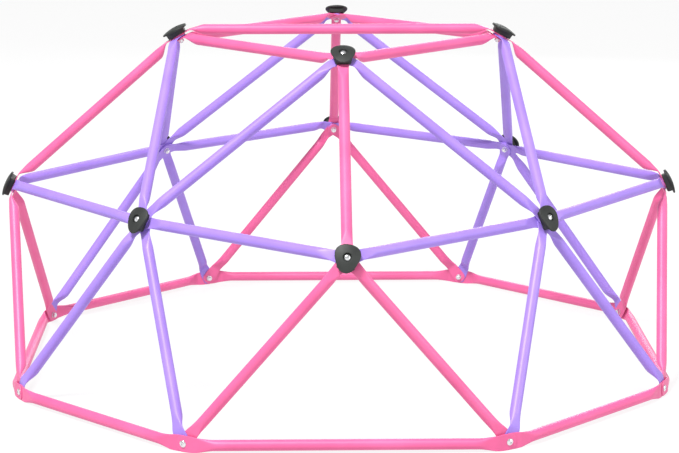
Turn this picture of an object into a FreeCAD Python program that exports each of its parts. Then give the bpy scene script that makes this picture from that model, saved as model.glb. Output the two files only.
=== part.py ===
import FreeCAD, Part
import math
import os

# A dome climber: a low geodesic frame of swaged steel tubes that children climb over and crawl through.
# Four square "sides" face front (-Y), right (+X), back (+Y) and left (-X); a "corner" lies between each
# two sides. Each side has a top hub, a middle hub and two ground hubs, and each corner has a middle hub.
# Every tube is pressed flat at both ends, and one bolt clamps each hub's stack of flat ends.
# The frame's origin is on the ground under the middle of the dome, with +Z up. All sizes are millimetres.

# Where the hubs are: the outer face of each stack of flat ends, on the bolt's axis
GROUND_RADIUS = 914.0
GROUND_HEIGHT = 20.5
GROUND_HALF_ANGLE = 25.17
TOP_RADIUS = 426.0
TOP_HEIGHT = 882.5
SIDE_RADIUS = 874.5
SIDE_HEIGHT = 480.5
CORNER_RADIUS = 705.5
CORNER_HEIGHT = 489.0
BOLT_AXES_MEET_HEIGHT = 76.0

# The tubes
TUBE_DIAMETER = 27.0
TUBE_WALL = 1.0
FLAT_THICKNESS = 2.2
BEND_DISTANCE = 36.0
BEND_RADIUS = 28.0
HOLE_DIAMETER = 8.5
SHOULDER_STEPS = 7
VOID_START_THICKNESS = 4.0
SECTION_POLES = 12
SQUARENESS = 1.12

# The plastic hub caps: a domed plate with one long lobe and two short ones, on a flared block
CAP_HEIGHT = 22.5
CAP_PLATE_BOTTOM = 12.5
CAP_REACH = 32.2
CAP_STRETCH = 2.2
CAP_LOBE_SWELL = 2.6
CAP_OUTLINE_POINTS = 24
CAP_DOME_RADIUS = 110.0
CAP_EDGE_ROUND = 1.3
CAP_BLOCK_AHEAD = 26.0
CAP_BLOCK_BEHIND = 22.0
CAP_BLOCK_ASIDE = 20.0
CAP_BLOCK_FLARE = 1.5
CAP_BLOCK_ROUND = 5.0
CAP_SOCKET_DIAMETER = 21.0
CAP_SOCKET_FLOOR = 16.5
TOP_CAP_TURN = -90.0
SIDE_CAP_TURN = -100.0
CORNER_CAP_TURN = -90.0

# The fasteners, metric M8
BOLT_DIAMETER = 8.0
BOLT_HEAD_DIAMETER = 17.0
BOLT_HEAD_HEIGHT = 4.8
BOLT_HEAD_RIM = 1.2
BOLT_SOCKET_WIDTH = 5.0
BOLT_SOCKET_DEPTH = 2.6
BOLT_END_PROUD = 2.5
WASHER_DIAMETER = 16.0
WASHER_THICKNESS = 1.6
NUT_WIDTH = 13.0
NUT_HEIGHT = 6.5
THREAD_GAP = 0.02

SIDES = ["front", "right", "back", "left"]
CORNERS = ["front_right", "back_right", "back_left", "front_left"]
FIRST_SIDE_ANGLE = -90.0
QUARTER_TURN = 90.0

# Each end style gives, in millimetres from the bolt's axis: how far the rounded tip reaches, the width
# of the flat, where the width starts and ends its change to the tube's, and where the round tube starts.
# The drop is how far the round tube sits inward of its flat: 0 is centred, 1 keeps the outer side flush.
CLIMB_END = {"reach": 16.0, "width": 36.0, "narrow": (2.0, 42.0), "round_from": 76.0, "drop": 0.75}
SLANT_END = {"reach": 16.0, "width": 36.0, "narrow": (2.0, 42.0), "round_from": 76.0, "drop": 0.45}
LEVEL_END = {"reach": 16.0, "width": 36.0, "narrow": (2.0, 42.0), "round_from": 76.0, "drop": 0.1}
LEG_FOOT_END = {"reach": 16.0, "width": 37.0, "narrow": (8.0, 58.0), "round_from": 78.0, "drop": 0.6}
GROUND_END = {"reach": 17.0, "width": 41.0, "narrow": (14.0, 80.0), "round_from": 88.0, "drop": 0.1}
FLAT_END = 32.0
TIP_POWER = 2.6
TIP_STATIONS = [0.985, 0.92, 0.76, 0.45]

# How many tubes each kind of hub clamps; the cross bar is one more on the top hubs it joins
GROUND_STACK = 4
SIDE_STACK = 5
CORNER_STACK = 6
TOP_STACK = 5
CROSS_BAR_SIDES = ["left", "right"]


def side_angle(side):
    """The direction of a side's middle, in degrees, from its number."""
    return FIRST_SIDE_ANGLE + QUARTER_TURN * side


def around(radius, degrees, height):
    """A point from its distance to the Z axis, its direction and its height."""
    angle = math.radians(degrees)
    return FreeCAD.Vector(radius * math.cos(angle), radius * math.sin(angle), height)


def make_hub(radius, degrees, height, aim_height, stack, over=0):
    """A hub: the outer face of its stack, its bolt's outward direction and how many tubes it clamps.

    The tubes that lie over the ones every hub of its kind has push the outer face out.
    """
    point = around(radius, degrees, height)
    axis = (point - FreeCAD.Vector(0, 0, aim_height)).normalize()
    return {"point": point + axis * (over * FLAT_THICKNESS), "axis": axis, "stack": stack, "over": over}


def make_hubs():
    """The twenty hubs, keyed by kind and by number, or by side and direction on the ground."""
    hubs = {}
    aim = BOLT_AXES_MEET_HEIGHT
    for side, name in enumerate(SIDES):
        angle = side_angle(side)
        corner_angle = angle + QUARTER_TURN / 2
        over = 1 if name in CROSS_BAR_SIDES else 0
        hubs["top", side] = make_hub(TOP_RADIUS, angle, TOP_HEIGHT, aim, TOP_STACK + over, over)
        hubs["side", side] = make_hub(SIDE_RADIUS, angle, SIDE_HEIGHT, aim, SIDE_STACK)
        hubs["corner", side] = make_hub(CORNER_RADIUS, corner_angle, CORNER_HEIGHT, aim, CORNER_STACK)
        for way in (-1, 1):
            ground_angle = angle + way * GROUND_HALF_ANGLE
            hubs["ground", side, way] = make_hub(
                GROUND_RADIUS, ground_angle, GROUND_HEIGHT, GROUND_HEIGHT, GROUND_STACK
            )
    return hubs


def smooth(value):
    """A ramp from 0 to 1 with level ends."""
    held = min(1.0, max(0.0, value))
    return held * held * (3.0 - 2.0 * held)


def end_size(style, distance):
    """The width and thickness of a tube's end at a distance from its bolt; negative is the tip."""
    first, last = style["narrow"]
    narrowing = smooth((distance - first) / (last - first))
    opening = smooth((distance - FLAT_END) / (style["round_from"] - FLAT_END))
    width = style["width"] + (TUBE_DIAMETER - style["width"]) * narrowing
    thickness = FLAT_THICKNESS + (TUBE_DIAMETER - FLAT_THICKNESS) * opening
    if distance < 0:
        width *= (1.0 - (-distance / style["reach"]) ** TIP_POWER) ** (1.0 / TIP_POWER)
    return width, thickness


def section_curve(centre, across, through, width, thickness):
    """A closed curve that is a circle when width equals thickness, and a flat-sided oval when not."""
    step = 2.0 * math.pi / SECTION_POLES
    swell = 3.0 / (2.0 + math.cos(step))
    square_swell = 3.0 / (2.0 + SQUARENESS * math.cos(step))
    flatness = 1.0 - (thickness / width) ** 2
    poles = []
    for index in range(SECTION_POLES):
        round_side = math.cos(step * index)
        round_up = math.sin(step * index)
        square_side = max(-1.0, min(1.0, round_side * SQUARENESS)) * square_swell
        square_up = float(round(round_up))
        side = round_side * swell * (1.0 - flatness) + square_side * flatness
        up = round_up * swell * (1.0 - flatness) + square_up * flatness
        poles.append(centre + across * (side * width / 2) + through * (up * thickness / 2))
    curve = Part.BSplineCurve()
    knots = [float(index) for index in range(SECTION_POLES + 1)]
    curve.buildFromPolesMultsKnots(poles, [1] * len(knots), knots, True, 3)
    return curve


def tube_end(hub, layer, style):
    """One end of a tube before its direction is known: the middle of its flat, and its style."""
    middle = hub["point"] - hub["axis"] * ((hub["over"] + layer + 0.5) * FLAT_THICKNESS)
    return {"middle": middle, "axis": hub["axis"], "style": style}


def aim_end(end, target):
    """Lays the flat in its hub's plane, pointing at the other end's bend, and finds the bend."""
    axis = end["axis"]
    offset = target - end["middle"]
    along = (offset - axis * offset.dot(axis)).normalize()
    end["along"] = along
    end["bend"] = end["middle"] + along * BEND_DISTANCE


def finish_end(end, other):
    """Works out the arc that turns the flat's direction into the straight tube's."""
    end["run"] = (other["bend"] - end["bend"]).normalize()
    end["turn"] = end["run"].getAngle(end["along"])
    end["arc_start"] = BEND_DISTANCE - BEND_RADIUS * math.tan(end["turn"] / 2)
    end["arc_length"] = BEND_RADIUS * end["turn"]


def end_frame(end, distance):
    """The centre and the through direction of a tube's end at a distance along it from the bolt."""
    along = end["along"]
    axis = end["axis"]
    past = distance - end["arc_start"]
    if past <= 0:
        return end["middle"] + along * distance, axis
    turned = min(past / BEND_RADIUS, end["turn"])
    centre = end["middle"] + along * end["arc_start"]
    centre = centre + along * (BEND_RADIUS * math.sin(turned))
    centre = centre - axis * (BEND_RADIUS * (1.0 - math.cos(turned)))
    straight = max(0.0, past - end["arc_length"])
    return centre + end["run"] * straight, axis * math.cos(turned) + along * math.sin(turned)


def end_sections(end, sign, inset, first_distance):
    """The section curves of one end, from its tip to the round tube, shrunk by inset on every side."""
    style = end["style"]
    across = end["axis"].cross(end["along"]) * sign
    stations = [-style["reach"] * part for part in TIP_STATIONS]
    stations += [0.0, FLAT_END / 2, FLAT_END]
    span = style["round_from"] - FLAT_END
    stations += [FLAT_END + span * step / SHOULDER_STEPS for step in range(1, SHOULDER_STEPS + 1)]
    curves = []
    for distance in stations:
        if distance < first_distance:
            continue
        centre, through = end_frame(end, distance)
        width, thickness = end_size(style, distance)
        centre = centre - through * (style["drop"] * (thickness - FLAT_THICKNESS) / 2)
        width -= 2.0 * inset
        thickness -= 2.0 * inset
        curves.append(section_curve(centre, across, through, width, thickness).toShape())
    return curves


def void_start(style):
    """The distance from the bolt at which the pressed tube opens enough to hold a space inside."""
    distance = FLAT_END
    while end_size(style, distance)[1] < VOID_START_THICKNESS:
        distance += 1.0
    return distance


def loft_tube(start, finish, inset, start_first, finish_first):
    """A solid through the sections of both ends."""
    curves = end_sections(start, 1.0, inset, start_first)
    curves += reversed(end_sections(finish, -1.0, inset, finish_first))
    wires = [Part.Wire([curve]) for curve in curves]
    return Part.makeLoft(wires, True, True, False)


def bolt_hole(end):
    """The cutter for the hole through one flat end."""
    depth = 4.0 * FLAT_THICKNESS
    base = end["middle"] - end["axis"] * (depth / 2)
    return Part.makeCylinder(HOLE_DIAMETER / 2, depth, base, end["axis"])


def make_tube(hub_a, layer_a, style_a, hub_b, layer_b, style_b):
    """A hollow tube between two hubs, flat and bent at both ends, with a bolt hole in each."""
    start = tube_end(hub_a, layer_a, style_a)
    finish = tube_end(hub_b, layer_b, style_b)
    start["bend"] = start["middle"]
    finish["bend"] = finish["middle"]
    for _ in range(6):
        aim_end(start, finish["bend"])
        aim_end(finish, start["bend"])
    finish_end(start, finish)
    finish_end(finish, start)
    outside = loft_tube(start, finish, 0.0, -style_a["reach"], -style_b["reach"])
    inside = loft_tube(start, finish, TUBE_WALL, void_start(style_a), void_start(style_b))
    return outside.cut(inside).cut(bolt_hole(start)).cut(bolt_hole(finish))


def make_side_tubes(hubs):
    """The front side's tubes by name stem and direction: -1 towards the left, 1 towards the right."""
    top = hubs["top", 0]
    middle = hubs["side", 0]
    left_ground = hubs["ground", 0, -1]
    right_ground = hubs["ground", 0, 1]
    left_corner = hubs["corner", 3]
    right_corner = hubs["corner", 0]
    climb = CLIMB_END
    slant = SLANT_END
    level = LEVEL_END
    foot = LEG_FOOT_END
    return {
        ("ground_tube_", 0): make_tube(left_ground, 0, GROUND_END, right_ground, 0, GROUND_END),
        ("roof_strut_", 0): make_tube(top, 0, climb, middle, 0, climb),
        ("roof_strut_", 1): make_tube(top, 1, slant, right_corner, 1, level),
        ("roof_strut_", -1): make_tube(top, 2, slant, left_corner, 0, level),
        ("middle_ring_", 1): make_tube(middle, 1, level, right_corner, 4, level),
        ("middle_ring_", -1): make_tube(middle, 3, level, left_corner, 2, level),
        ("side_leg_", 1): make_tube(middle, 2, climb, right_ground, 3, foot),
        ("side_leg_", -1): make_tube(middle, 4, climb, left_ground, 3, foot),
        ("corner_leg_", 1): make_tube(right_corner, 3, level, right_ground, 2, foot),
        ("corner_leg_", -1): make_tube(left_corner, 5, level, left_ground, 2, foot),
    }


def make_corner_tubes(hubs):
    """The tubes that cross the front right corner, by name stem."""
    return {
        "ground_tube_": make_tube(
            hubs["ground", 0, 1], 1, GROUND_END, hubs["ground", 1, -1], 1, GROUND_END
        ),
        "top_ring_": make_tube(hubs["top", 0], 3, CLIMB_END, hubs["top", 1], 4, CLIMB_END),
    }


def quarter_turned(shape, turns):
    """A copy of a shape turned about the Z axis by quarter turns."""
    copy = shape.copy()
    copy.rotate(FreeCAD.Vector(), FreeCAD.Vector(0, 0, 1), QUARTER_TURN * turns)
    return copy


def make_tubes(hubs):
    """All the tubes: the front side's and the front right corner's, repeated round the dome."""
    side_tubes = make_side_tubes(hubs)
    corner_tubes = make_corner_tubes(hubs)
    nodes = {}
    for turns, side in enumerate(SIDES):
        for (stem, way), tube in side_tubes.items():
            ending = "_to_" + SIDES[(turns + way) % len(SIDES)] if way else ""
            nodes[stem + side + ending] = quarter_turned(tube, turns)
        for stem, tube in corner_tubes.items():
            nodes[stem + CORNERS[turns]] = quarter_turned(tube, turns)
    nodes["top_cross_bar"] = make_cross_bar(hubs)
    return nodes


def make_cross_bar(hubs):
    """The one tube that crosses the top, from the left hub to the right hub, over their other tubes."""
    return make_tube(hubs["top", 3], -1, LEVEL_END, hubs["top", 1], -1, LEVEL_END)


def cap_outline(height):
    """The cap's outline: a long lobe along +X and two short ones, joined by nearly flat sides."""
    points = []
    for index in range(CAP_OUTLINE_POINTS):
        degrees = 360.0 * index / CAP_OUTLINE_POINTS
        turn = math.radians(degrees)
        reach = CAP_REACH + CAP_STRETCH * math.cos(2 * turn) + CAP_LOBE_SWELL * math.cos(3 * turn)
        points.append(around(reach, degrees, height))
    outline = Part.BSplineCurve()
    outline.interpolate(Points=points, PeriodicFlag=True)
    return Part.Wire([outline.toShape()])


def cap_block_outline(height, flare):
    """One end of the block under the plate, as a rectangle grown by flare."""
    ahead = CAP_BLOCK_AHEAD + flare
    behind = CAP_BLOCK_BEHIND + flare
    aside = CAP_BLOCK_ASIDE + flare
    corners = [(ahead, -aside), (ahead, aside), (-behind, aside), (-behind, -aside), (ahead, -aside)]
    return Part.makePolygon([FreeCAD.Vector(x, y, height) for x, y in corners])


def make_cap_block():
    """The block that stands on the tubes and carries the plate, with rounded upright edges."""
    foot = cap_block_outline(0, 0)
    top = cap_block_outline(CAP_PLATE_BOTTOM, CAP_BLOCK_FLARE)
    block = Part.makeLoft([foot, top], True, True)
    upright = [edge for edge in block.Edges if edge.BoundBox.ZLength > CAP_PLATE_BOTTOM / 2]
    return block.makeFillet(CAP_BLOCK_ROUND, upright)


def make_cap():
    """One hub cap standing on the XY plane, its long lobe along +X: block, plate, bolt socket."""
    plate = Part.Face(cap_outline(CAP_PLATE_BOTTOM)).extrude(FreeCAD.Vector(0, 0, CAP_HEIGHT))
    dome = Part.makeSphere(CAP_DOME_RADIUS, FreeCAD.Vector(0, 0, CAP_HEIGHT - CAP_DOME_RADIUS))
    plate = plate.common(dome)
    rims = [edge for edge in plate.Edges if edge.Length > CAP_HEIGHT * 2]
    plate = plate.makeFillet(CAP_EDGE_ROUND, rims)
    floor = FreeCAD.Vector(0, 0, CAP_SOCKET_FLOOR)
    socket = Part.makeCylinder(CAP_SOCKET_DIAMETER / 2, CAP_HEIGHT, floor)
    hole = Part.makeCylinder(HOLE_DIAMETER / 2, CAP_HEIGHT)
    return plate.fuse(make_cap_block()).cut(socket).cut(hole).removeSplitter()


def make_bolt(grip):
    """A domed-head bolt along -Z, its head's underside on the XY plane."""
    radius = BOLT_HEAD_DIAMETER / 2
    crown = BOLT_HEAD_HEIGHT - BOLT_HEAD_RIM
    dome_radius = (radius * radius + crown * crown) / (2.0 * crown)
    dome = Part.makeSphere(dome_radius, FreeCAD.Vector(0, 0, BOLT_HEAD_HEIGHT - dome_radius))
    head = Part.makeCylinder(radius, BOLT_HEAD_HEIGHT).common(dome)
    length = grip + WASHER_THICKNESS + NUT_HEIGHT + BOLT_END_PROUD
    shank = Part.makeCylinder(BOLT_DIAMETER / 2, length, FreeCAD.Vector(0, 0, -length))
    socket = make_hexagon(BOLT_SOCKET_WIDTH, BOLT_SOCKET_DEPTH)
    socket.translate(FreeCAD.Vector(0, 0, BOLT_HEAD_HEIGHT - BOLT_SOCKET_DEPTH))
    return head.fuse(shank).cut(socket).removeSplitter()


def make_hexagon(width, height):
    """A six-sided prism on the XY plane, from its width across flats."""
    reach = width / 2 / math.cos(math.radians(30))
    points = [around(reach, 60.0 * corner, 0) for corner in range(7)]
    return Part.Face(Part.makePolygon(points)).extrude(FreeCAD.Vector(0, 0, height))


def make_washer():
    """A flat washer under the XY plane."""
    base = FreeCAD.Vector(0, 0, -WASHER_THICKNESS)
    disc = Part.makeCylinder(WASHER_DIAMETER / 2, WASHER_THICKNESS, base)
    return disc.cut(Part.makeCylinder(HOLE_DIAMETER / 2, WASHER_THICKNESS, base))


def make_nut():
    """A hexagon nut under the XY plane."""
    nut = make_hexagon(NUT_WIDTH, NUT_HEIGHT)
    nut = nut.cut(Part.makeCylinder(BOLT_DIAMETER / 2 + THREAD_GAP, NUT_HEIGHT))
    nut.translate(FreeCAD.Vector(0, 0, -NUT_HEIGHT))
    return nut


def place(shape, hub, turn, offset):
    """A copy of a shape on a hub's bolt axis, its +X turned from the hub's right, seen from outside."""
    axis = hub["axis"]
    right = FreeCAD.Vector(0, 0, 1).cross(axis).normalize()
    up = axis.cross(right)
    upright = FreeCAD.Placement(FreeCAD.Vector(), FreeCAD.Rotation(FreeCAD.Vector(0, 0, 1), turn))
    onto = FreeCAD.Placement(hub["point"] + axis * offset, FreeCAD.Rotation(right, up, axis, "ZXY"))
    copy = shape.copy()
    copy.Placement = onto.multiply(upright).multiply(shape.Placement)
    return copy


def hubs_of(hubs, kind):
    """The hubs of one kind."""
    return [hub for key, hub in hubs.items() if key[0] == kind]


def make_caps(hubs):
    """The black caps, grouped by the kind of hub they cover."""
    cap = make_cap()
    turns = {"top": TOP_CAP_TURN, "side": SIDE_CAP_TURN, "corner": CORNER_CAP_TURN}
    nodes = {}
    for kind, turn in turns.items():
        caps = [place(cap, hub, turn, 0) for hub in hubs_of(hubs, kind)]
        nodes[kind + "_hub_caps"] = Part.Compound(caps)
    return nodes


def make_fasteners(hubs):
    """Bolts, washers and nuts, each kind grouped by the kind of hub it holds."""
    nodes = {}
    washer = make_washer()
    nut = make_nut()
    washers = []
    nuts = []
    for kind in ("top", "side", "corner", "ground"):
        head_height = 0.0 if kind == "ground" else CAP_SOCKET_FLOOR
        bolts = []
        for hub in hubs_of(hubs, kind):
            depth = hub["stack"] * FLAT_THICKNESS
            bolts.append(place(make_bolt(head_height + depth), hub, 0, head_height))
            washers.append(place(washer, hub, 0, -depth))
            nuts.append(place(nut, hub, 0, -depth - WASHER_THICKNESS))
        nodes[kind + "_hub_bolts"] = Part.Compound(bolts)
    nodes["hub_washers"] = Part.Compound(washers)
    nodes["hub_nuts"] = Part.Compound(nuts)
    return nodes


def main():
    hubs = make_hubs()
    nodes = make_tubes(hubs)
    nodes.update(make_caps(hubs))
    nodes.update(make_fasteners(hubs))
    os.makedirs("parts", exist_ok=True)
    for name, shape in nodes.items():
        shape.exportStep("parts/" + name + ".step")
    print(len(nodes), "nodes written")


main()
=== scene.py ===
import math

import bmesh
import bpy
from mathutils import Matrix, Vector


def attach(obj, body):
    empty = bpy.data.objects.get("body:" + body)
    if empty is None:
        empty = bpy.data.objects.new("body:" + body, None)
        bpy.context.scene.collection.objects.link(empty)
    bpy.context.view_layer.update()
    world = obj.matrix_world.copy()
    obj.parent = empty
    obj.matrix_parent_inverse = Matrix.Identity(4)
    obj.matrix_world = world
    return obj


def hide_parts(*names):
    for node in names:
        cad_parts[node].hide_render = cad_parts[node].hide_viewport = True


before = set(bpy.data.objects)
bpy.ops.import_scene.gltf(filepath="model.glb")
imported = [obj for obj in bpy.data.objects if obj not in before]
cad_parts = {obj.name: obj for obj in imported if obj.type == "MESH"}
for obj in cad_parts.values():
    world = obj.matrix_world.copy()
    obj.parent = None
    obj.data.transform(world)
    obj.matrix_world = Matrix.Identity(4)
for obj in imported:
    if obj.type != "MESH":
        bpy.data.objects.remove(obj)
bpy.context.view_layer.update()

# Sizes are in metres and angles in degrees.

# Where the hubs are, as in the CAD parts: the outer face of each stack of flat ends, on the bolt's axis
GROUND_RADIUS = 0.914
GROUND_HEIGHT = 0.0205
GROUND_HALF_ANGLE = 25.17
TOP_RADIUS = 0.426
TOP_HEIGHT = 0.8825
SIDE_RADIUS = 0.8745
SIDE_HEIGHT = 0.4805
CORNER_RADIUS = 0.7055
CORNER_HEIGHT = 0.489
BOLT_AXES_MEET_HEIGHT = 0.076
FIRST_SIDE_ANGLE = -90.0
QUARTER_TURN = 90.0
FULL_TURN = 360.0
SIDES = ["front", "right", "back", "left"]
CORNERS = ["front_right", "back_right", "back_left", "front_left"]

# How many tubes each kind of hub clamps; the cross bar is one more on the top hubs it joins
STACKS = {"ground": 4, "side": 5, "corner": 6, "top": 5}

# The tubes. Each end style gives, from the bolt's axis: how far the rounded tip reaches, the width of
# the flat, where the width starts and ends its change to the tube's, and where the round tube starts.
# The drop is how far the round tube sits inward of its flat: at 0 they share one middle, and at 1 their
# outer faces are flush.
TUBE = 0.027
FLAT = 0.0022
FLAT_END = 0.032
BEND_DISTANCE = 0.036
BEND_RADIUS = 0.028
HOLE_RADIUS = 0.00425
TIP_POWER = 2.6
AIM_ROUNDS = 6
TIP_ANGLES = (89, 84, 77, 68, 57, 44, 28, 12)
FLAT_STEPS = 6
SHOULDER_STEPS = 22
STRAIGHT_STEPS = 6
POINTS_ROUND_TUBE = 56
POINTS_ROUND_HOLE = 32
HOLE_CUTTER_REACH = 2.5 * FLAT
EDGE_SHARPNESS = 2.4
CLIMB_END = {"reach": 0.016, "width": 0.036, "narrow": (0.002, 0.042), "round_from": 0.076, "drop": 0.75}
SLANT_END = {"reach": 0.016, "width": 0.036, "narrow": (0.002, 0.042), "round_from": 0.076, "drop": 0.45}
LEVEL_END = {"reach": 0.016, "width": 0.036, "narrow": (0.002, 0.042), "round_from": 0.076, "drop": 0.1}
LEG_FOOT_END = {"reach": 0.016, "width": 0.037, "narrow": (0.008, 0.058), "round_from": 0.078, "drop": 0.6}
GROUND_END = {"reach": 0.017, "width": 0.041, "narrow": (0.014, 0.080), "round_from": 0.088, "drop": 0.1}

# The plastic hub caps: a domed plate with one long lobe and two short ones, on a flared block.
# The rings that soften an edge are pairs: inset then rise on the plate's lower rim, inset then drop on
# the dome, radius then drop towards the socket, and height then inset at the block's foot.
# Each kind's turn is where the long lobe points, seen from outside: -90 is down the dome.
CAP_HEIGHT = 0.0225
CAP_PLATE_BOTTOM = 0.0125
CAP_REACH = 0.0322
CAP_STRETCH = 0.0022
CAP_LOBE_SWELL = 0.0026
CAP_DOME_RADIUS = 0.110
CAP_LIP = 0.0015
CAP_LIP_STEPS = 7
CAP_UNDERSIDE_RING = 0.015
CAP_LOWER_RIM = ((0.0013, 0.0), (0.0006, 0.0002), (0.0002, 0.0006), (0.0, 0.0013))
CAP_DOME_RINGS = ((0.0035, 0.00002), (0.0070, 0.0))
CAP_SOCKET_RADIUS = 0.0105
CAP_SOCKET_RINGS = (
    (0.0200, 0.0), (0.0160, 0.0), (0.0130, 0.0), (0.0113, 0.0), (0.0108, 0.0002),
    (CAP_SOCKET_RADIUS, 0.0007),
)
CAP_SOCKET_FLOOR = 0.0165
CAP_SOCKET_CORNER_INSET = 0.0003
CAP_SOCKET_CORNER_RISE = 0.0004
CAP_BORE = 0.0044
CAP_BLOCK_AHEAD = 0.026
CAP_BLOCK_BEHIND = 0.022
CAP_BLOCK_ASIDE = 0.020
CAP_BLOCK_FLARE = 0.0015
CAP_BLOCK_ROUND = 0.005
CAP_BLOCK_CORNER_POINTS = 18
CAP_BLOCK_LAP = 0.001
CAP_BLOCK_FOOT = ((0.0, 0.0006), (0.0002, 0.0002), (0.0007, 0.0))
POINTS_ROUND_CAP = 120
CAP_TURNS = {"top": -90.0, "side": -100.0, "corner": -90.0}

# The fasteners, metric M8. Each head and nut is turned this much more than the one on the hub before.
HEAD_TURN = 37.0
NUT_TURN = 62.9
HEAD_RADIUS = 0.0085
HEAD_RIM = 0.0012
HEAD_HEIGHT = 0.0048
HEAD_EDGE = 0.0003
HEAD_DOME_STEPS = 9
HEAD_SOCKET_WIDTH = 0.005
HEAD_SOCKET_DEPTH = 0.0026
HEAD_CUTTER_PROUD = 0.001
BOLT_RADIUS = 0.004
BOLT_TIP_RADIUS = 0.0031
BOLT_TIP_LENGTH = 0.0006
BOLT_PROUD = 0.0025
SHANK_BELOW_HEAD = 0.0001
THREAD_PITCH = 0.00125
THREAD_DEPTH = 0.0006
THREAD_PLAY = 0.00005
THREADED_LENGTH = 0.012
ROWS_PER_PITCH = 8
THREAD_FADE_ROWS = 6
WASHER = 0.0016
WASHER_RADIUS = 0.008
WASHER_BORE = 0.0043
WASHER_BEVEL = 0.0002
NUT_WIDTH = 0.013
NUT_HEIGHT = 0.0065
NUT_BORE = 0.00405
NUT_BORE_CHAMFER = 0.00045
NUT_BORE_CHAMFER_DEPTH = 0.0004
NUT_CHAMFER_START = 0.97
NUT_CHAMFER_ANGLE = 30.0
HEXAGON_CORNERS = 6
HEXAGON_HALF_SIDE = 30.0
POINTS_ROUND_HEAD = 64
POINTS_ROUND_SHANK = 32
POINTS_ROUND_WASHER = 48
POINTS_ROUND_NUT = 96

# Mesh making
MERGE_DISTANCE = 1e-6
SHARP_ANGLE = 35.0

# The stage
FLOOR_REACH = 60.0
SKY_HORIZON = 1.0
SKY_OVERHEAD = 0.5
SKY_FADE = (0.22, 0.42)
LIGHT_TARGET = Vector((0, 0, 0.4))
CAMERA_AZIMUTH = -1.17
CAMERA_ELEVATION = 12.53
CAMERA_DISTANCE = 6.136
CAMERA_TARGET = Vector((0.0, 0.0, 0.3633))
CAMERA_LENS = 120.6
SENSOR_WIDTH = 36.0


# ---------------------------------------------------------------- hubs


def around(radius, degrees, height):
    """A point from its distance to the Z axis, its direction and its height."""
    angle = math.radians(degrees)
    return Vector((radius * math.cos(angle), radius * math.sin(angle), height))


def make_hub(radius, degrees, height, aim_height, stack, over=0):
    """A hub: the outer face of its stack, its bolt's outward direction and how many tubes it clamps."""
    point = around(radius, degrees, height)
    axis = (point - Vector((0, 0, aim_height))).normalized()
    return {"point": point + axis * (over * FLAT), "axis": axis, "stack": stack, "over": over}


def make_hubs():
    """The twenty hubs, keyed by kind and side, and on the ground by direction too."""
    hubs = {}
    aim = BOLT_AXES_MEET_HEIGHT
    for side in range(len(SIDES)):
        angle = FIRST_SIDE_ANGLE + QUARTER_TURN * side
        corner_angle = angle + QUARTER_TURN / 2
        over = side % 2
        hubs["top", side] = make_hub(TOP_RADIUS, angle, TOP_HEIGHT, aim, STACKS["top"] + over, over)
        hubs["side", side] = make_hub(SIDE_RADIUS, angle, SIDE_HEIGHT, aim, STACKS["side"])
        hubs["corner", side] = make_hub(
            CORNER_RADIUS, corner_angle, CORNER_HEIGHT, aim, STACKS["corner"]
        )
        for way in (-1, 1):
            ground_angle = angle + way * GROUND_HALF_ANGLE
            hubs["ground", side, way] = make_hub(
                GROUND_RADIUS, ground_angle, GROUND_HEIGHT, GROUND_HEIGHT, STACKS["ground"]
            )
    return hubs


def hub_matrix(hub, offset, turn):
    """Places a piece on a hub's bolt axis; +X is to the right seen from outside, then turned."""
    axis = hub["axis"]
    right = Vector((0, 0, 1)).cross(axis).normalized()
    up = axis.cross(right)
    rotation = Matrix((right, up, axis)).transposed().to_4x4()
    place = Matrix.Translation(hub["point"] + axis * offset)
    return place @ rotation @ Matrix.Rotation(math.radians(turn), 4, "Z")


# ---------------------------------------------------------------- mesh helpers


def smooth(value):
    """A ramp from 0 to 1 with level ends."""
    held = min(1.0, max(0.0, value))
    return held * held * (3.0 - 2.0 * held)


def circle(radius, height, count):
    """A level ring of points round the Z axis."""
    return [around(radius, FULL_TURN * index / count, height) for index in range(count)]


def ring_mesh(name, rings, closed_ends=True):
    """A mesh skinned over rings of points, with flat ends, or with the last ring joined to the first."""
    count = len(rings[0])
    vertices = [tuple(point) for ring in rings for point in ring]
    faces = []
    rows = len(rings) - 1 if closed_ends else len(rings)
    for row in range(rows):
        base = row * count
        following = ((row + 1) % len(rings)) * count
        for column in range(count):
            nearby = (column + 1) % count
            faces.append((base + column, base + nearby, following + nearby, following + column))
    if closed_ends:
        faces.append(tuple(reversed(range(count))))
        faces.append(tuple(range((len(rings) - 1) * count, len(rings) * count)))
    mesh = bpy.data.meshes.new(name)
    mesh.from_pydata(vertices, [], faces)
    return clean_mesh(mesh)


def clean_mesh(mesh):
    """Faces outward, smooth shading, and sharp edges where the surface turns sharply."""
    work = bmesh.new()
    work.from_mesh(mesh)
    bmesh.ops.remove_doubles(work, verts=work.verts, dist=MERGE_DISTANCE)
    bmesh.ops.recalc_face_normals(work, faces=work.faces)
    for face in work.faces:
        face.smooth = True
    for edge in work.edges:
        if len(edge.link_faces) == 2:
            edge.smooth = edge.calc_face_angle(0.0) < math.radians(SHARP_ANGLE)
    work.to_mesh(mesh)
    work.free()
    return mesh


def combined(mesh, others, operation):
    """The mesh after an exact boolean operation with each of the others."""
    body = bpy.data.objects.new("boolean_body", mesh)
    bpy.context.scene.collection.objects.link(body)
    tools = []
    for other in others:
        tool = bpy.data.objects.new("boolean_tool", other)
        bpy.context.scene.collection.objects.link(tool)
        modifier = body.modifiers.new("boolean", "BOOLEAN")
        modifier.operation = operation
        modifier.solver = "EXACT"
        modifier.object = tool
        tools.append(tool)
    bpy.context.view_layer.update()
    evaluated = body.evaluated_get(bpy.context.evaluated_depsgraph_get())
    result = bpy.data.meshes.new_from_object(evaluated)
    for used in [body] + tools:
        bpy.data.objects.remove(used)
    return clean_mesh(result)


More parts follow.
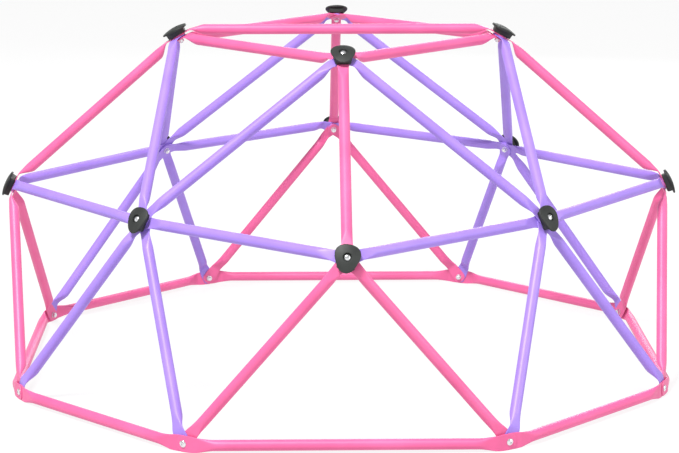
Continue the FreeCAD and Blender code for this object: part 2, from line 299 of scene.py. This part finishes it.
def joined(name, meshes_and_matrices):
    """One mesh from placed copies of others."""
    work = bmesh.new()
    for mesh, matrix in meshes_and_matrices:
        copy = mesh.copy()
        copy.transform(matrix)
        work.from_mesh(copy)
        bpy.data.meshes.remove(copy)
    mesh = bpy.data.meshes.new(name)
    work.to_mesh(mesh)
    work.free()
    return mesh


def make_piece(name, mesh, material, node):
    """A shown piece of the dome that stands for a CAD node."""
    piece = bpy.data.objects.new(name, mesh)
    bpy.context.scene.collection.objects.link(piece)
    mesh.materials.clear()
    mesh.materials.append(material)
    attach(piece, "root")
    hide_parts(node)


# ---------------------------------------------------------------- tubes


def end_size(style, distance):
    """Width and thickness of a tube's end at a distance from its bolt; negative is the tip."""
    first, last = style["narrow"]
    narrowing = smooth((distance - first) / (last - first))
    opening = smooth((distance - FLAT_END) / (style["round_from"] - FLAT_END))
    width = style["width"] + (TUBE - style["width"]) * narrowing
    thickness = FLAT + (TUBE - FLAT) * opening
    if distance < 0:
        width *= (1.0 - (-distance / style["reach"]) ** TIP_POWER) ** (1.0 / TIP_POWER)
    return width, thickness


def section(centre, across, through, width, thickness):
    """Points round a pressed tube: a circle whose two halves are drawn apart by a flat."""
    edge = min(thickness, width) / 2
    spread = (width - 2 * edge) / 2
    points = []
    for index in range(POINTS_ROUND_TUBE):
        angle = 2 * math.pi * (index + 0.5) / POINTS_ROUND_TUBE
        side = math.cos(angle)
        pull = math.sin(min(1.0, abs(side) * EDGE_SHARPNESS) * math.pi / 2)
        offset = edge * side + math.copysign(spread * pull, side)
        points.append(centre + across * offset + through * (edge * math.sin(angle)))
    return points


def make_end(hub, layer, style):
    """One end of a tube before its direction is known: the middle of its flat, and its style."""
    middle = hub["point"] - hub["axis"] * ((hub["over"] + layer + 0.5) * FLAT)
    return {"middle": middle, "axis": hub["axis"], "style": style, "bend": middle}


def aim_end(end, target):
    """Lays the flat in its hub's plane, pointing at the other end's bend, and finds the bend."""
    offset = target - end["middle"]
    along = (offset - end["axis"] * offset.dot(end["axis"])).normalized()
    end["along"] = along
    end["bend"] = end["middle"] + along * BEND_DISTANCE


def end_frame(end, distance):
    """Centre and through direction at a distance along a tube's end from its bolt."""
    along, axis, turn = end["along"], end["axis"], end["turn"]
    arc_start = BEND_DISTANCE - BEND_RADIUS * math.tan(turn / 2)
    past = distance - arc_start
    if past <= 0:
        return end["middle"] + along * distance, axis
    turned = min(past / BEND_RADIUS, turn)
    centre = end["middle"] + along * (arc_start + BEND_RADIUS * math.sin(turned))
    centre = centre - axis * (BEND_RADIUS * (1 - math.cos(turned)))
    straight = max(0.0, past - BEND_RADIUS * turn)
    return centre + end["run"] * straight, axis * math.cos(turned) + along * math.sin(turned)


def end_rings(end, sign):
    """Rings from the rounded tip of one end to where the tube is round."""
    style = end["style"]
    across = end["axis"].cross(end["along"]) * sign
    tip = [-style["reach"] * math.sin(math.radians(angle)) for angle in TIP_ANGLES]
    flat = [FLAT_END * step / FLAT_STEPS for step in range(FLAT_STEPS + 1)]
    span = style["round_from"] - FLAT_END
    shoulder = [FLAT_END + span * step / SHOULDER_STEPS for step in range(1, SHOULDER_STEPS + 1)]
    rings = []
    for distance in tip + flat + shoulder:
        centre, through = end_frame(end, distance)
        width, thickness = end_size(style, distance)
        centre = centre - through * (style["drop"] * (thickness - FLAT) / 2)
        rings.append(section(centre, across, through, width, thickness))
    return rings


def hole_cutter(end):
    """The cutter for the hole through one flat end."""
    right = end["along"]
    up = end["axis"].cross(right)
    turn = Matrix((right, up, end["axis"])).transposed()
    rings = []
    for height in (-HOLE_CUTTER_REACH, HOLE_CUTTER_REACH):
        hole = circle(HOLE_RADIUS, height, POINTS_ROUND_HOLE)
        rings.append([end["middle"] + turn @ point for point in hole])
    return ring_mesh("hole_cutter", rings)


def tube_mesh(hub_a, layer_a, style_a, hub_b, layer_b, style_b):
    """A swaged tube: flat, rounded, drilled and bent at both ends, round between them."""
    start = make_end(hub_a, layer_a, style_a)
    finish = make_end(hub_b, layer_b, style_b)
    for _ in range(AIM_ROUNDS):
        aim_end(start, finish["bend"])
        aim_end(finish, start["bend"])
    for end, other in ((start, finish), (finish, start)):
        end["run"] = (other["bend"] - end["bend"]).normalized()
        end["turn"] = end["run"].angle(end["along"])
    first = end_rings(start, 1.0)
    last = end_rings(finish, -1.0)
    last.reverse()
    middle = []
    for step in range(1, STRAIGHT_STEPS):
        part = step / STRAIGHT_STEPS
        middle.append([a.lerp(b, part) for a, b in zip(first[-1], last[0])])
    mesh = ring_mesh("tube", first + middle + last)
    return combined(mesh, [hole_cutter(start), hole_cutter(finish)], "DIFFERENCE")


def side_tubes(hubs):
    """The front side's tubes, by stem, direction and material slot."""
    top, middle = hubs["top", 0], hubs["side", 0]
    left_ground, right_ground = hubs["ground", 0, -1], hubs["ground", 0, 1]
    left_corner, right_corner = hubs["corner", 3], hubs["corner", 0]
    climb, slant, level, foot = CLIMB_END, SLANT_END, LEVEL_END, LEG_FOOT_END
    pink, lavender = "pink_paint", "lavender_paint"
    return {
        ("ground_tube", 0, pink): tube_mesh(left_ground, 0, GROUND_END, right_ground, 0, GROUND_END),
        ("roof_strut", 0, pink): tube_mesh(top, 0, climb, middle, 0, climb),
        ("roof_strut", 1, lavender): tube_mesh(top, 1, slant, right_corner, 1, level),
        ("roof_strut", -1, lavender): tube_mesh(top, 2, slant, left_corner, 0, level),
        ("middle_ring", 1, lavender): tube_mesh(middle, 1, level, right_corner, 4, level),
        ("middle_ring", -1, lavender): tube_mesh(middle, 3, level, left_corner, 2, level),
        ("side_leg", 1, pink): tube_mesh(middle, 2, climb, right_ground, 3, foot),
        ("side_leg", -1, pink): tube_mesh(middle, 4, climb, left_ground, 3, foot),
        ("corner_leg", 1, lavender): tube_mesh(right_corner, 3, level, right_ground, 2, foot),
        ("corner_leg", -1, lavender): tube_mesh(left_corner, 5, level, left_ground, 2, foot),
    }


def corner_tubes(hubs):
    """The tubes that cross the front right corner, by stem."""
    near, far = hubs["ground", 0, 1], hubs["ground", 1, -1]
    return {
        "ground_tube": tube_mesh(near, 1, GROUND_END, far, 1, GROUND_END),
        "top_ring": tube_mesh(hubs["top", 0], 3, CLIMB_END, hubs["top", 1], 4, CLIMB_END),
    }


def turned_copy(mesh, turns):
    """A copy of a mesh turned about the Z axis by quarter turns."""
    copy = mesh.copy()
    copy.transform(Matrix.Rotation(math.radians(QUARTER_TURN * turns), 4, "Z"))
    return copy


def build_tubes(hubs, materials):
    """All the tubes: the front side's and the front right corner's, repeated round the dome."""
    sides = side_tubes(hubs)
    corners = corner_tubes(hubs)
    pink = materials["pink_paint"]
    for turns, side in enumerate(SIDES):
        for (stem, way, slot_name), mesh in sides.items():
            ending = "_to_" + SIDES[(turns + way) % len(SIDES)] if way else ""
            node = stem + "_" + side + ending
            make_piece("swaged_" + node, turned_copy(mesh, turns), materials[slot_name], node)
        for stem, mesh in corners.items():
            node = stem + "_" + CORNERS[turns]
            make_piece("swaged_" + node, turned_copy(mesh, turns), pink, node)
    bar = tube_mesh(hubs["top", 3], -1, LEVEL_END, hubs["top", 1], -1, LEVEL_END)
    make_piece("swaged_top_cross_bar", bar, pink, "top_cross_bar")


# ---------------------------------------------------------------- hub caps


def dome_height(radius):
    """How high the cap's domed top is at a distance from its axis."""
    return CAP_HEIGHT - CAP_DOME_RADIUS + math.sqrt(CAP_DOME_RADIUS**2 - radius**2)


def cap_outline(inset, height_at):
    """A ring just inside the lobed outline; height_at gives the height at a distance from the axis."""
    ring = []
    for index in range(POINTS_ROUND_CAP):
        angle = 2 * math.pi * index / POINTS_ROUND_CAP
        lobes = CAP_STRETCH * math.cos(2 * angle) + CAP_LOBE_SWELL * math.cos(3 * angle)
        radius = CAP_REACH + lobes - inset
        ring.append((radius * math.cos(angle), radius * math.sin(angle), height_at(radius)))
    return ring


def cap_plate_mesh():
    """The domed, lobed plate with rounded lips and the bolt's socket sunk into it."""
    count = POINTS_ROUND_CAP
    bottom = CAP_PLATE_BOTTOM
    rings = [circle(CAP_BORE, bottom, count), circle(CAP_UNDERSIDE_RING, bottom, count)]
    for inset, rise in CAP_LOWER_RIM:
        rings.append(cap_outline(inset, lambda radius: bottom + rise))
    for step in range(CAP_LIP_STEPS + 1):
        turn = math.radians(QUARTER_TURN * step / CAP_LIP_STEPS)
        drop = CAP_LIP * (1 - math.sin(turn))
        inset = CAP_LIP * (1 - math.cos(turn))
        rings.append(cap_outline(inset, lambda radius: dome_height(radius) - drop))
    for inset, drop in CAP_DOME_RINGS:
        rings.append(cap_outline(inset, lambda radius: dome_height(radius) - drop))
    for radius, drop in CAP_SOCKET_RINGS:
        rings.append(circle(radius, dome_height(radius) - drop, count))
    rings.append(circle(CAP_SOCKET_RADIUS, CAP_SOCKET_FLOOR + CAP_SOCKET_CORNER_RISE, count))
    rings.append(circle(CAP_SOCKET_RADIUS - CAP_SOCKET_CORNER_INSET, CAP_SOCKET_FLOOR, count))
    rings.append(circle(CAP_BORE, CAP_SOCKET_FLOOR, count))
    return ring_mesh("cap_plate", rings, closed_ends=False)


def block_outline(flare, height):
    """A rectangle with round corners, grown by flare, from the corner ahead on the right."""
    ahead = CAP_BLOCK_AHEAD + flare
    behind = CAP_BLOCK_BEHIND + flare
    aside = CAP_BLOCK_ASIDE + flare
    last = CAP_BLOCK_CORNER_POINTS - 1
    ring = []
    corners = ((ahead, -aside), (ahead, aside), (-behind, aside), (-behind, -aside))
    for number, (x, y) in enumerate(corners):
        centre_x = x - math.copysign(CAP_BLOCK_ROUND, x)
        centre_y = y - math.copysign(CAP_BLOCK_ROUND, y)
        centre = Vector((centre_x, centre_y, 0))
        for step in range(CAP_BLOCK_CORNER_POINTS):
            turn = QUARTER_TURN * (number - 1 + step / last)
            ring.append(centre + around(CAP_BLOCK_ROUND, turn, height))
    return ring


def bore_ring(height):
    """The bolt's hole through the block, with a point for each point round the block."""
    count = 4 * CAP_BLOCK_CORNER_POINTS
    turns = [FULL_TURN * (index + 1) / count - QUARTER_TURN for index in range(count)]
    return [around(CAP_BORE, turn, height) for turn in turns]


def cap_block_mesh():
    """The flared block under the plate, with a softened foot, let into the plate a little."""
    top = CAP_PLATE_BOTTOM + CAP_BLOCK_LAP
    rings = [bore_ring(0.0)]
    for height, inset in CAP_BLOCK_FOOT + ((CAP_PLATE_BOTTOM, 0.0), (top, 0.0)):
        flare = CAP_BLOCK_FLARE * min(1.0, height / CAP_PLATE_BOTTOM)
        rings.append(block_outline(flare - inset, height))
    rings.append(bore_ring(top))
    return ring_mesh("cap_block", rings, closed_ends=False)


def build_caps(hubs, materials):
    """The twelve hub caps, one piece for each kind of hub."""
    cap = combined(cap_plate_mesh(), [cap_block_mesh()], "UNION")
    for kind, turn in CAP_TURNS.items():
        placed = [(cap, hub_matrix(hub, 0.0, turn)) for key, hub in hubs.items() if key[0] == kind]
        mesh = joined(kind + "_caps", placed)
        node = kind + "_hub_caps"
        make_piece("moulded_" + node, mesh, materials["black_plastic"], node)


# ---------------------------------------------------------------- fasteners


def bolt_head_mesh():
    """A domed head with a hexagon socket, its underside at zero."""
    profile = [(BOLT_RADIUS, 0.0), (HEAD_RADIUS - HEAD_EDGE, 0.0), (HEAD_RADIUS, HEAD_EDGE)]
    profile.append((HEAD_RADIUS, HEAD_RIM))
    crown = HEAD_HEIGHT - HEAD_RIM
    dome = (HEAD_RADIUS**2 + crown**2) / (2 * crown)
    sweep = math.asin(HEAD_RADIUS / dome)
    for step in range(1, HEAD_DOME_STEPS):
        angle = sweep * (1 - step / HEAD_DOME_STEPS)
        profile.append((dome * math.sin(angle), HEAD_HEIGHT - dome + dome * math.cos(angle)))
    head = ring_mesh("head", [circle(radius, height, POINTS_ROUND_HEAD) for radius, height in profile])
    reach = HEAD_SOCKET_WIDTH / 2 / math.cos(math.radians(HEXAGON_HALF_SIDE))
    levels = (HEAD_HEIGHT - HEAD_SOCKET_DEPTH, HEAD_HEIGHT + HEAD_CUTTER_PROUD)
    socket = ring_mesh("hexagon", [circle(reach, level, HEXAGON_CORNERS) for level in levels])
    return combined(head, [socket], "DIFFERENCE")


def bolt_shank_mesh(length):
    """A shank along -Z whose last stretch is threaded."""
    count = POINTS_ROUND_SHANK
    rings = [circle(BOLT_TIP_RADIUS, -length, count)]
    steps = int(THREADED_LENGTH / THREAD_PITCH * ROWS_PER_PITCH)
    for row in range(steps + 1):
        level = BOLT_TIP_LENGTH - length + (THREADED_LENGTH - BOLT_TIP_LENGTH) * row / steps
        ring = []
        for index in range(count):
            wave = abs(((level / THREAD_PITCH - index / count) % 1.0) - 0.5) * 2
            depth = THREAD_DEPTH * wave * min(1.0, row / THREAD_FADE_ROWS)
            ring.append(around(BOLT_RADIUS - THREAD_PLAY - depth, FULL_TURN * index / count, level))
        rings.append(ring)
    rings.append(circle(BOLT_RADIUS, -SHANK_BELOW_HEAD, count))
    return ring_mesh("shank", rings)


def bolt_mesh(grip):
    """A domed socket-head bolt along -Z, its head's underside at zero, that clamps the grip."""
    length = grip + WASHER + NUT_HEIGHT + BOLT_PROUD
    still = Matrix.Identity(4)
    return joined("bolt", [(bolt_head_mesh(), still), (bolt_shank_mesh(length), still)])


def washer_mesh():
    """A flat washer with bevelled rims, under the XY plane."""
    rim = WASHER_RADIUS - WASHER_BEVEL
    profile = [
        (WASHER_BORE, 0.0), (rim, 0.0), (WASHER_RADIUS, -WASHER_BEVEL),
        (WASHER_RADIUS, WASHER_BEVEL - WASHER), (rim, -WASHER), (WASHER_BORE, -WASHER),
    ]
    rings = [circle(radius, height, POINTS_ROUND_WASHER) for radius, height in profile]
    return ring_mesh("washer", rings, closed_ends=False)


def nut_mesh():
    """A chamfered hexagon nut under the XY plane."""
    slope = math.tan(math.radians(NUT_CHAMFER_ANGLE))
    flat = NUT_WIDTH / 2 * NUT_CHAMFER_START
    mouth = NUT_BORE + NUT_BORE_CHAMFER
    depth = NUT_BORE_CHAMFER_DEPTH
    columns = []
    for index in range(POINTS_ROUND_NUT):
        degrees = FULL_TURN * index / POINTS_ROUND_NUT
        from_flat = degrees % (2 * HEXAGON_HALF_SIDE) - HEXAGON_HALF_SIDE
        reach = NUT_WIDTH / 2 / math.cos(math.radians(from_flat))
        fall = max(0.0, (reach - flat) * slope)
        profile = [
            (NUT_BORE, -depth), (mouth, 0.0), (flat, 0.0), (reach, -fall),
            (reach, fall - NUT_HEIGHT), (flat, -NUT_HEIGHT), (mouth, -NUT_HEIGHT),
            (NUT_BORE, depth - NUT_HEIGHT),
        ]
        columns.append([around(radius, degrees, height) for radius, height in profile])
    return ring_mesh("nut", list(zip(*columns)), closed_ends=False)


def build_fasteners(hubs, materials):
    """Bolts by kind of hub, all the washers and all the nuts."""
    zinc = materials["zinc_steel"]
    washer, nut = washer_mesh(), nut_mesh()
    washers, nuts = [], []
    made = {}
    for kind in ("top", "side", "corner", "ground"):
        head_height = 0.0 if kind == "ground" else CAP_SOCKET_FLOOR
        bolts = []
        for number, (key, hub) in enumerate(hubs.items()):
            if key[0] != kind:
                continue
            depth = hub["stack"] * FLAT
            grip = head_height + depth
            if grip not in made:
                made[grip] = bolt_mesh(grip)
            bolts.append((made[grip], hub_matrix(hub, head_height, HEAD_TURN * number)))
            washers.append((washer, hub_matrix(hub, -depth, 0.0)))
            nuts.append((nut, hub_matrix(hub, -depth - WASHER, NUT_TURN * number)))
        node = kind + "_hub_bolts"
        make_piece("socket_" + node, joined(node + "_mesh", bolts), zinc, node)
    make_piece("flat_washers", joined("washers", washers), zinc, "hub_washers")
    make_piece("hexagon_nuts", joined("nuts", nuts), zinc, "hub_nuts")


# ---------------------------------------------------------------- materials


def new_material(name):
    """An empty material: itself, its nodes, its links and its shader."""
    material = bpy.data.materials.new(name)
    material.use_nodes = True
    nodes = material.node_tree.nodes
    return material, nodes, material.node_tree.links, nodes["Principled BSDF"]


def noise_node(nodes, links, scale, detail):
    """Noise in the piece's own coordinates, which are metres from the dome's origin."""
    place = nodes.new("ShaderNodeTexCoord")
    texture = nodes.new("ShaderNodeTexNoise")
    texture.inputs["Scale"].default_value = scale
    texture.inputs["Detail"].default_value = detail
    links.new(place.outputs["Object"], texture.inputs["Vector"])
    return texture.outputs["Fac"]


def colour_drift(nodes, links, shader, noise, stops):
    """A base colour that drifts with the noise between two stops."""
    ramp = nodes.new("ShaderNodeValToRGB")
    for element, (position, colour) in zip(ramp.color_ramp.elements, stops):
        element.position = position
        element.color = (*colour, 1.0)
    links.new(noise, ramp.inputs["Fac"])
    links.new(ramp.outputs["Color"], shader.inputs["Base Color"])


def range_node(nodes, links, source, low, high):
    """The source's 0 to 1 spread from low to high."""
    spread = nodes.new("ShaderNodeMapRange")
    spread.inputs["To Min"].default_value = low
    spread.inputs["To Max"].default_value = high
    links.new(source, spread.inputs["Value"])
    return spread


def gloss_drift(nodes, links, shader, noise, low, high):
    """A roughness that drifts with the noise from low to high."""
    rough = range_node(nodes, links, noise, low, high)
    links.new(rough.outputs["Result"], shader.inputs["Roughness"])


def fine_bump(nodes, links, shader, noise, strength, distance):
    """A fine relief, too small for the mesh."""
    bump = nodes.new("ShaderNodeBump")
    bump.inputs["Strength"].default_value = strength
    bump.inputs["Distance"].default_value = distance
    links.new(noise, bump.inputs["Height"])
    links.new(bump.outputs["Normal"], shader.inputs["Normal"])


def powder_coat(name, deep, fresh):
    """Satin powder coat: faint orange peel, slow drift of colour and gloss."""
    material, nodes, links, shader = new_material(name)
    drift = noise_node(nodes, links, scale=9.0, detail=3.0)
    colour_drift(nodes, links, shader, drift, [(0.35, deep), (0.65, fresh)])
    gloss = noise_node(nodes, links, scale=60.0, detail=4.0)
    gloss_drift(nodes, links, shader, gloss, low=0.43, high=0.51)
    relief = noise_node(nodes, links, scale=700.0, detail=2.0)
    fine_bump(nodes, links, shader, relief, strength=0.12, distance=0.0002)
    shader.inputs["Coat Weight"].default_value = 0.12
    shader.inputs["Coat Roughness"].default_value = 0.35
    return material


def moulded_plastic(name, deep, fresh):
    """Dark moulded plastic with a fine spark-eroded grain."""
    material, nodes, links, shader = new_material(name)
    drift = noise_node(nodes, links, scale=25.0, detail=3.0)
    colour_drift(nodes, links, shader, drift, [(0.35, deep), (0.65, fresh)])
    gloss = noise_node(nodes, links, scale=150.0, detail=3.0)
    gloss_drift(nodes, links, shader, gloss, low=0.46, high=0.62)
    relief = noise_node(nodes, links, scale=2200.0, detail=2.0)
    fine_bump(nodes, links, shader, relief, strength=0.25, distance=0.00012)
    shader.inputs["Specular IOR Level"].default_value = 0.35
    return material


def zinc_plate(name, deep, fresh):
    """Bright zinc plating with small changes of gloss and tint."""
    material, nodes, links, shader = new_material(name)
    drift = noise_node(nodes, links, scale=400.0, detail=3.0)
    colour_drift(nodes, links, shader, drift, [(0.3, deep), (0.7, fresh)])
    gloss = noise_node(nodes, links, scale=900.0, detail=4.0)
    gloss_drift(nodes, links, shader, gloss, low=0.18, high=0.34)
    relief = noise_node(nodes, links, scale=1500.0, detail=4.0)
    fine_bump(nodes, links, shader, relief, strength=0.1, distance=0.0001)
    shader.inputs["Metallic"].default_value = 1.0
    return material


def make_materials():
    """The four materials, by slot."""
    return {
        "pink_paint": powder_coat(
            "pink_powder_coat", deep=(0.70, 0.098, 0.265), fresh=(0.75, 0.118, 0.300)
        ),
        "lavender_paint": powder_coat(
            "lavender_powder_coat", deep=(0.290, 0.175, 0.63), fresh=(0.325, 0.202, 0.69)
        ),
        "black_plastic": moulded_plastic(
            "moulded_dark_plastic", deep=(0.015, 0.017, 0.016), fresh=(0.025, 0.028, 0.026)
        ),
        "zinc_steel": zinc_plate(
            "bright_zinc_plate", deep=(0.70, 0.71, 0.73), fresh=(0.86, 0.87, 0.88)
        ),
    }


# ---------------------------------------------------------------- stage


def build_floor():
    """A plain pale floor that the dome stands on."""
    mesh = bpy.data.meshes.new("floor")
    reach = FLOOR_REACH
    corners = [(-reach, -reach, 0.0), (reach, -reach, 0.0), (reach, reach, 0.0), (-reach, reach, 0.0)]
    mesh.from_pydata(corners, [], [(0, 1, 2, 3)])
    floor = bpy.data.objects.new("floor", mesh)
    bpy.context.scene.collection.objects.link(floor)
    material, _, _, shader = new_material("pale_floor")
    shader.inputs["Base Color"].default_value = (0.13, 0.13, 0.13, 1.0)
    shader.inputs["Emission Color"].default_value = (1.0, 1.0, 1.0, 1.0)
    shader.inputs["Emission Strength"].default_value = 0.84
    shader.inputs["Roughness"].default_value = 0.9
    shader.inputs["Specular IOR Level"].default_value = 0.1
    mesh.materials.append(material)


def build_sky():
    """A studio backdrop: white round the horizon, dimmer overhead."""
    world = bpy.data.worlds.new("studio")
    bpy.context.scene.world = world
    world.use_nodes = True
    nodes, links = world.node_tree.nodes, world.node_tree.links
    direction = nodes.new("ShaderNodeTexCoord")
    split = nodes.new("ShaderNodeSeparateXYZ")
    links.new(direction.outputs["Generated"], split.inputs["Vector"])
    fade = range_node(nodes, links, split.outputs["Z"], SKY_HORIZON, SKY_OVERHEAD)
    fade.inputs["From Min"].default_value = SKY_FADE[0]
    fade.inputs["From Max"].default_value = SKY_FADE[1]
    sky = nodes["Background"]
    sky.inputs["Color"].default_value = (1.0, 1.0, 1.0, 1.0)
    links.new(fade.outputs["Result"], sky.inputs["Strength"])


def add_disk_light(name, place, size, power):
    """A round light aimed at the middle of the dome."""
    data = bpy.data.lights.new(name, "AREA")
    data.shape = "DISK"
    data.size = size
    data.energy = power
    light = bpy.data.objects.new(name, data)
    light.location = place
    aim = LIGHT_TARGET - Vector(place)
    light.rotation_euler = aim.to_track_quat("-Z", "Y").to_euler()
    bpy.context.scene.collection.objects.link(light)


def build_light():
    """A soft key high on the left, with weaker light from the right and from behind."""
    add_disk_light("key", place=(-2.4, -4.1, 8.0), size=2.2, power=1020.0)
    add_disk_light("fill", place=(4.2, -2.6, 2.2), size=3.0, power=70.0)
    add_disk_light("back", place=(1.0, 5.0, 2.2), size=3.0, power=90.0)


def build_camera():
    """A long lens a little above the dome, almost square to its front side."""
    data = bpy.data.cameras.new("camera")
    data.lens = CAMERA_LENS
    data.sensor_width = SENSOR_WIDTH
    camera = bpy.data.objects.new("camera", data)
    bpy.context.scene.collection.objects.link(camera)
    turn, rise = math.radians(CAMERA_AZIMUTH), math.radians(CAMERA_ELEVATION)
    back = Vector((math.sin(turn) * math.cos(rise), -math.cos(turn) * math.cos(rise), math.sin(rise)))
    camera.location = CAMERA_TARGET + back * CAMERA_DISTANCE
    camera.rotation_mode = "QUATERNION"
    camera.rotation_quaternion = (-back).to_track_quat("-Z", "Y")
    bpy.context.scene.camera = camera
    bpy.context.scene.view_settings.view_transform = "Standard"


hubs = make_hubs()
materials = make_materials()
build_tubes(hubs, materials)
build_caps(hubs, materials)
build_fasteners(hubs, materials)
build_floor()
build_sky()
build_light()
build_camera()
